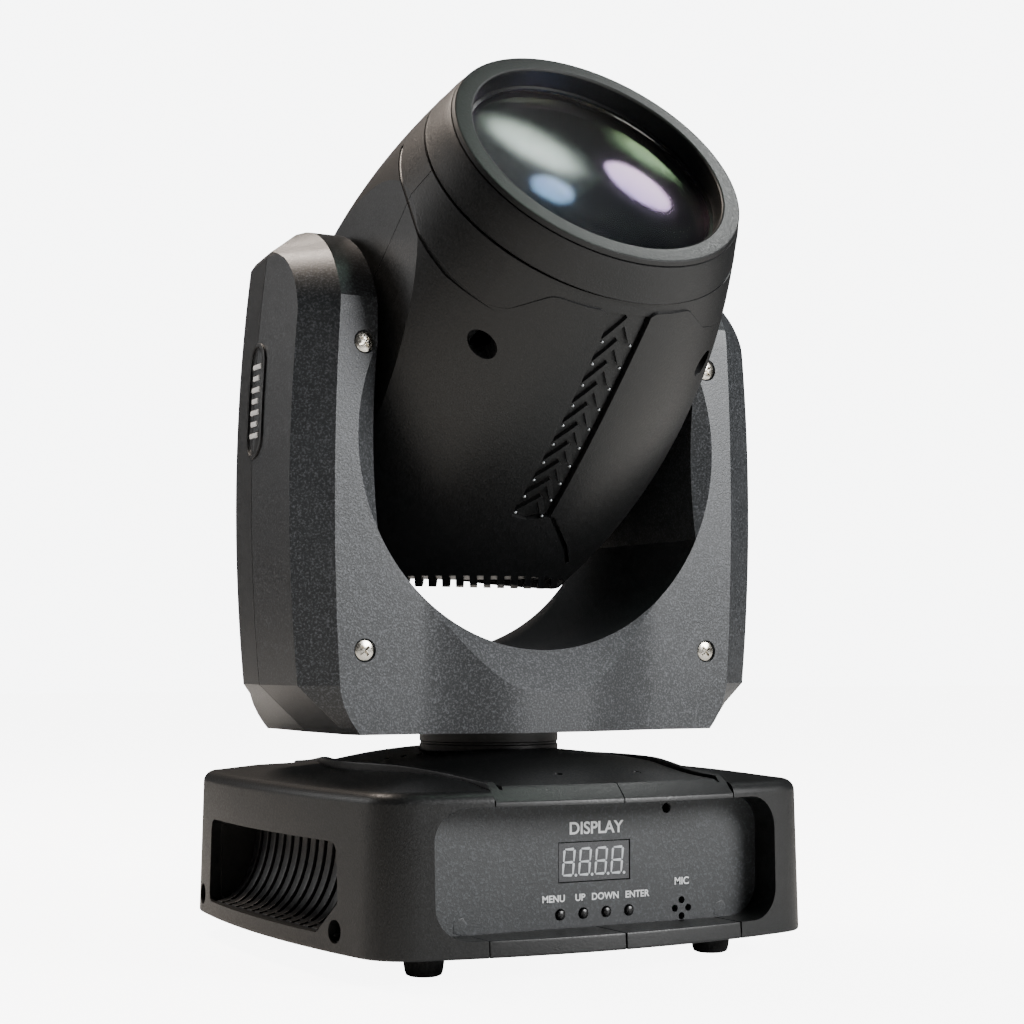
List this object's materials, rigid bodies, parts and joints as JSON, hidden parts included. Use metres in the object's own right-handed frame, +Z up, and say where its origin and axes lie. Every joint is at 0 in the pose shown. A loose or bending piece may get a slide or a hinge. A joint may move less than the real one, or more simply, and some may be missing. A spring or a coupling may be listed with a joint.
{
  "type": "moving head light",
  "caption": "Small moving head stage light: a beam head tilts in a forked yoke that pans on a base with a control panel.",
  "frame": {"origin": "on the pan axis, in the plane of the base plate's underside; the rubber feet reach 9.5 mm below it", "axes": "+Z up along the pan axis, -Y towards the control panel, X along the tilt axis"},
  "size_m": [0.2028, 0.2193, 0.3391],
  "materials": {
    "black_abs": "fine moulded texture, satin",
    "graphite_abs": "sand-textured graphite paint",
    "matt_black": "matt black",
    "coated_steel": "powder coat",
    "plated_steel": "zinc plated",
    "nickel": "bright nickel",
    "cast_alloy": "as cast and turned",
    "motor_enamel": "enamel",
    "circuit_board": "solder mask",
    "smoked_window": "smoked acrylic",
    "coated_glass": "anti-reflection coated",
    "black_rubber": "moulded rubber"
  },
  "bodies": {
    "base": {"base_plate": "plated_steel", "left_side_cover": "black_abs", "right_side_cover": "black_abs", "top_cover": "black_abs", "front_sill": "black_abs", "rear_sill": "black_abs", "front_panel": "coated_steel", "display_module": "smoked_window", "control_board": "circuit_board", "rear_panel": "coated_steel", "power_inlet": "black_abs", "dmx_input_socket": "black_abs", "dmx_output_socket": "black_abs", "power_supply": "matt_black", "left_louvre": "black_abs", "right_louvre": "black_abs", "front_left_foot": "black_rubber", "front_right_foot": "black_rubber", "rear_left_foot": "black_rubber", "rear_right_foot": "black_rubber", "pan_spindle": "motor_enamel", "pan_ring_pulley": "cast_alloy"},
    "yoke": {"yoke_frame": "plated_steel", "yoke_front_cover": "graphite_abs", "yoke_rear_cover": "graphite_abs", "upper_left_screw": "nickel", "upper_right_screw": "nickel", "lower_left_screw": "nickel", "lower_right_screw": "nickel", "pan_motor": "motor_enamel", "pan_belt": "black_rubber", "tilt_motor": "motor_enamel", "tilt_belt": "black_rubber", "pan_bearing": "plated_steel", "left_tilt_bearing": "plated_steel", "right_tilt_bearing": "plated_steel"},
    "head": {"head_lower_shell": "black_abs", "head_upper_shell": "black_abs", "lens_bezel": "black_abs", "objective_lens": "coated_glass", "lens_cone": "matt_black", "head_frame": "plated_steel", "left_trunnion": "cast_alloy", "right_trunnion": "cast_alloy", "tilt_pulley": "cast_alloy", "heat_sink": "cast_alloy", "led_module": "circuit_board", "head_fan_frame": "matt_black"},
    "pan_pinion": {"pan_motor_pulley": "cast_alloy"},
    "tilt_pinion": {"tilt_motor_pulley": "cast_alloy"},
    "fan_rotor": {"head_fan_rotor": "matt_black"},
    "colour_disc": {"colour_wheel": "plated_steel"},
    "gobo_disc": {"gobo_wheel": "plated_steel"},
    "prism_swing": {"prism_arm": "plated_steel"},
    "focus_slide": {"focus_carriage": "matt_black"},
    "menu_key": {"menu_button": "matt_black"},
    "up_key": {"up_button": "matt_black"},
    "down_key": {"down_button": "matt_black"},
    "enter_key": {"enter_button": "matt_black"}
  },
  "joints": [
    {"name": "pan", "type": "hinge", "parent": "base", "child": "yoke", "pos_m": [0, 0, 0.0755], "axis": [0, 0, 1], "range_deg": [-270, 270]},
    {"name": "tilt", "type": "hinge", "parent": "yoke", "child": "head", "pos_m": [0, 0, 0.218], "axis": [1, 0, 0], "range_deg": [-171, 68.9]},
    {"name": "pan_pinion_spin", "type": "hinge", "parent": "yoke", "child": "pan_pinion", "pos_m": [-0.054, 0, 0.086], "axis": [0, 0, 1], "range_deg": [-1260, 1260]},
    {"name": "tilt_pinion_spin", "type": "hinge", "parent": "yoke", "child": "tilt_pinion", "pos_m": [0.0795, 0, 0.14], "axis": [1, 0, 0], "range_deg": [-640, 260]},
    {"name": "fan_spin", "type": "hinge", "parent": "head", "child": "fan_rotor", "pos_m": [0, 0.05654, 0.17238], "axis": [0, -0.7782, 0.628], "continuous": true},
    {"name": "colour_wheel_spin", "type": "hinge", "parent": "head", "child": "colour_disc", "pos_m": [-0.02, 0.02179, 0.20042], "axis": [0, -0.7782, 0.628], "continuous": true},
    {"name": "gobo_wheel_spin", "type": "hinge", "parent": "head", "child": "gobo_disc", "pos_m": [0.02, 0.01557, 0.20544], "axis": [0, -0.7782, 0.628], "continuous": true},
    {"name": "prism_swing_in", "type": "hinge", "parent": "head", "child": "prism_swing", "pos_m": [-0.03, -0.01507, 0.19932], "axis": [0, -0.7782, 0.628], "range_deg": [-66, 0]},
    {"name": "focus_travel", "type": "slide", "parent": "head", "child": "focus_slide", "axis": [0, -0.7782, 0.628], "range_m": [-0.008, 0.03]},
    {"name": "menu_press", "type": "slide", "parent": "base", "child": "menu_key", "axis": [0, 1, 0], "range_m": [0, 0.0005], "stiffness_N_per_m": 1000, "springref_m": -0.0004},
    {"name": "up_press", "type": "slide", "parent": "base", "child": "up_key", "axis": [0, 1, 0], "range_m": [0, 0.0005], "stiffness_N_per_m": 1000, "springref_m": -0.0004},
    {"name": "down_press", "type": "slide", "parent": "base", "child": "down_key", "axis": [0, 1, 0], "range_m": [0, 0.0005], "stiffness_N_per_m": 1000, "springref_m": -0.0004},
    {"name": "enter_press", "type": "slide", "parent": "base", "child": "enter_key", "axis": [0, 1, 0], "range_m": [0, 0.0005], "stiffness_N_per_m": 1000, "springref_m": -0.0004}
  ],
  "couplings": [
    {"joint": "pan_pinion_spin", "follows": "pan", "ratio": -4.6154},
    {"joint": "tilt_pinion_spin", "follows": "tilt", "ratio": 3.6923}
  ]
}
